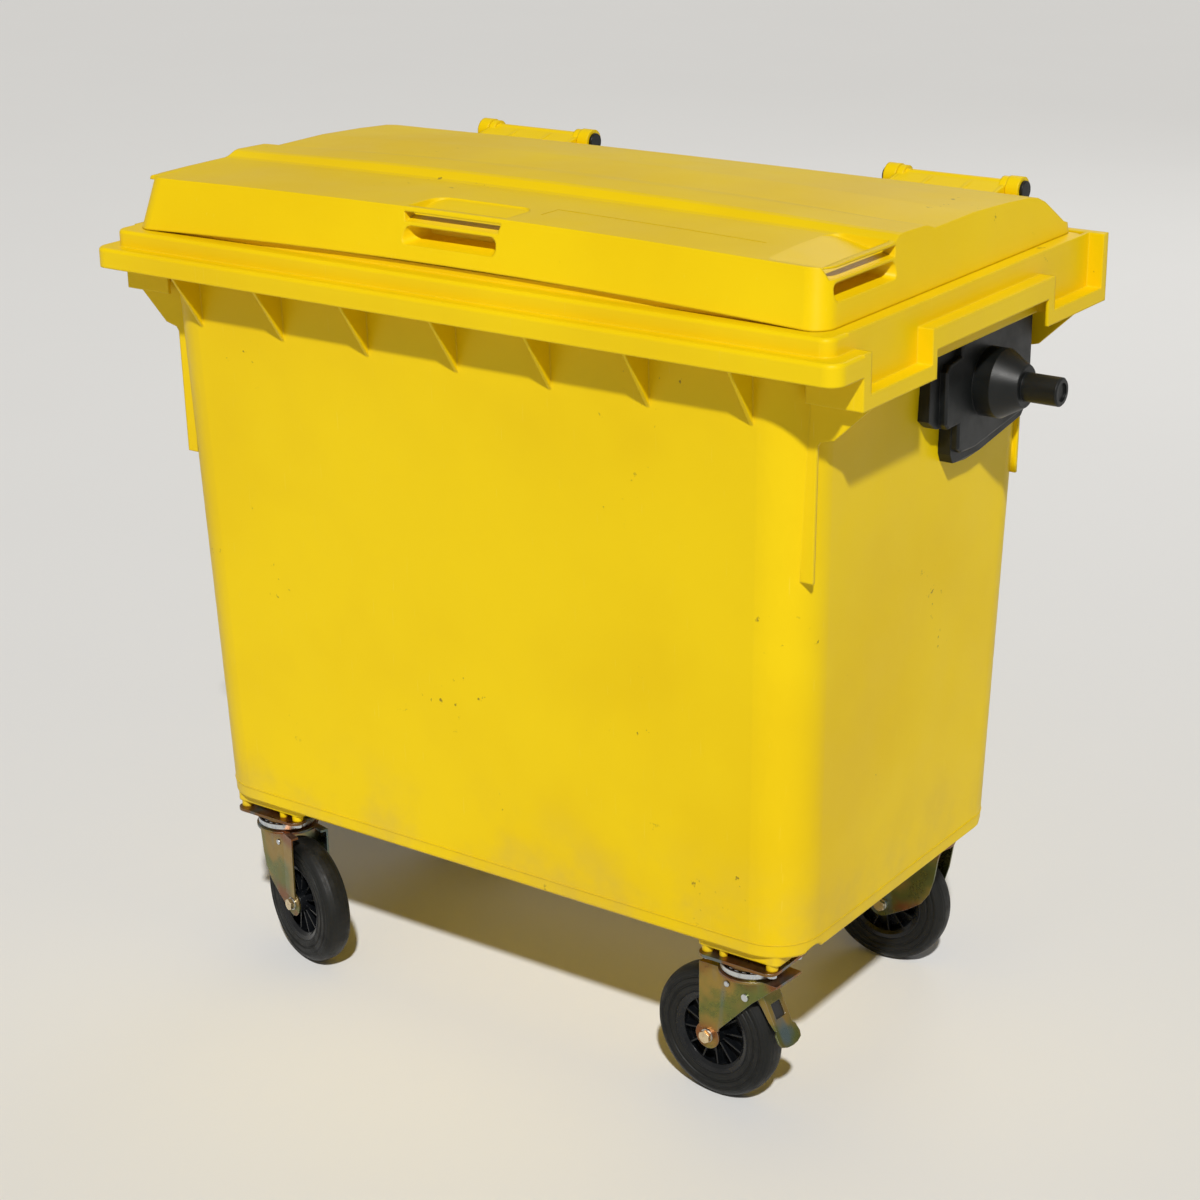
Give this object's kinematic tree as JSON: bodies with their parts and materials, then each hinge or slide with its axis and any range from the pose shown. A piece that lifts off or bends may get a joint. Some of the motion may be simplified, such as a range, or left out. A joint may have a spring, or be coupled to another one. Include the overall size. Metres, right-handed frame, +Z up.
{
  "type": "wheelie bin",
  "caption": "Four-wheeled yellow plastic waste container with flat hinged lid, lifting trunnions, swivel casters, a pedal brake and a drain plug.",
  "frame": {"origin": "on the ground, at the centre of the overall outline", "axes": "+X to the bin's right-hand end along its long side, +Y to the hinge side, +Z up"},
  "size_m": [1.366, 0.7735, 1.2453],
  "materials": {
    "yellow_plastic": "semi-gloss moulded polyethylene",
    "black_plastic": "satin",
    "grey_plastic": "satin",
    "wheel_plastic": "gloss moulded polypropylene",
    "tyre_rubber": "matt, dusty",
    "seal_rubber": "matt",
    "shoe_rubber": "matt",
    "passivated_steel": "yellow zinc passivated",
    "zinc": "bright zinc plated",
    "ball_steel": "polished"
  },
  "bodies": {
    "bin": {"tub": "yellow_plastic", "trunnion_right": "black_plastic", "trunnion_bolts_right": "zinc", "hinge_pin_right": "grey_plastic", "trunnion_left": "black_plastic", "trunnion_bolts_left": "zinc", "hinge_pin_left": "grey_plastic", "hinge_caps": "black_plastic", "caster_front_left_plate": "passivated_steel", "caster_front_left_screws": "zinc", "caster_front_left_king_pin": "zinc", "caster_front_right_plate": "passivated_steel", "caster_front_right_screws": "zinc", "caster_front_right_king_pin": "zinc", "caster_rear_left_plate": "passivated_steel", "caster_rear_left_screws": "zinc", "caster_rear_left_king_pin": "zinc", "caster_rear_right_plate": "passivated_steel", "caster_rear_right_screws": "zinc", "caster_rear_right_king_pin": "zinc"},
    "lid": {"lid": "yellow_plastic"},
    "drain_plug": {"drain_plug": "black_plastic", "drain_seal": "seal_rubber"},
    "brake_pedal": {"brake_pedal": "passivated_steel", "brake_shoe": "shoe_rubber"},
    "swivel_front_left": {"caster_front_left_ring": "zinc", "caster_front_left_balls": "ball_steel", "caster_front_left_fork": "passivated_steel", "caster_front_left_axle": "passivated_steel", "caster_front_left_nut": "zinc", "caster_front_left_bush": "zinc"},
    "wheel_front_left": {"caster_front_left_rim": "wheel_plastic", "caster_front_left_tyre": "tyre_rubber"},
    "swivel_front_right": {"caster_front_right_ring": "zinc", "caster_front_right_balls": "ball_steel", "caster_front_right_fork": "passivated_steel", "caster_front_right_axle": "passivated_steel", "caster_front_right_nut": "zinc", "caster_front_right_bush": "zinc", "brake_pin": "zinc", "brake_spacers": "zinc"},
    "wheel_front_right": {"caster_front_right_rim": "wheel_plastic", "caster_front_right_tyre": "tyre_rubber"},
    "swivel_rear_left": {"caster_rear_left_ring": "zinc", "caster_rear_left_balls": "ball_steel", "caster_rear_left_fork": "passivated_steel", "caster_rear_left_axle": "passivated_steel", "caster_rear_left_nut": "zinc", "caster_rear_left_bush": "zinc"},
    "wheel_rear_left": {"caster_rear_left_rim": "wheel_plastic", "caster_rear_left_tyre": "tyre_rubber"},
    "swivel_rear_right": {"caster_rear_right_ring": "zinc", "caster_rear_right_balls": "ball_steel", "caster_rear_right_fork": "passivated_steel", "caster_rear_right_axle": "passivated_steel", "caster_rear_right_nut": "zinc", "caster_rear_right_bush": "zinc"},
    "wheel_rear_right": {"caster_rear_right_rim": "wheel_plastic", "caster_rear_right_tyre": "tyre_rubber"}
  },
  "joints": [
    {"name": "swivel_front_left_turn", "type": "hinge", "parent": "bin", "child": "swivel_front_left", "pos_m": [-0.4295, -0.257, 0.22], "axis": [0, 0, 1], "continuous": true},
    {"name": "wheel_front_left_roll", "type": "hinge", "parent": "swivel_front_left", "child": "wheel_front_left", "pos_m": [-0.37655, -0.27523, 0.1], "axis": [0.3256, 0.9455, 0], "continuous": true},
    {"name": "swivel_front_right_turn", "type": "hinge", "parent": "bin", "child": "swivel_front_right", "pos_m": [0.4295, -0.257, 0.22], "axis": [0, 0, 1], "continuous": true},
    {"name": "wheel_front_right_roll", "type": "hinge", "parent": "swivel_front_right", "child": "wheel_front_right", "pos_m": [0.37364, -0.25309, 0.1], "axis": [-0.0698, -0.9976, 0], "continuous": true},
    {"name": "swivel_rear_left_turn", "type": "hinge", "parent": "bin", "child": "swivel_rear_left", "pos_m": [-0.4295, 0.237, 0.22], "axis": [0, 0, 1], "continuous": true},
    {"name": "wheel_rear_left_roll", "type": "hinge", "parent": "swivel_rear_left", "child": "wheel_rear_left", "pos_m": [-0.37834, 0.25978, 0.1], "axis": [-0.4067, 0.9135, 0], "continuous": true},
    {"name": "swivel_rear_right_turn", "type": "hinge", "parent": "bin", "child": "swivel_rear_right", "pos_m": [0.4295, 0.237, 0.22], "axis": [0, 0, 1], "continuous": true},
    {"name": "wheel_rear_right_roll", "type": "hinge", "parent": "swivel_rear_right", "child": "wheel_rear_right", "pos_m": [0.3736, 0.23358, 0.1], "axis": [0.061, -0.9981, 0], "continuous": true},
    {"name": "lid_hinge", "type": "hinge", "parent": "bin", "child": "lid", "pos_m": [0, 0.367, 1.196], "axis": [-1, 0, 0], "range_deg": [0, 260]},
    {"name": "brake_press", "type": "hinge", "parent": "swivel_front_right", "child": "brake_pedal", "pos_m": [0.43898, -0.25766, 0.182], "axis": [0.0698, 0.9976, 0], "range_deg": [0, 8]},
    {"name": "drain_plug_pull", "type": "slide", "parent": "bin", "child": "drain_plug", "axis": [0, 0, -1], "range_m": [0, 0.05]}
  ]
}
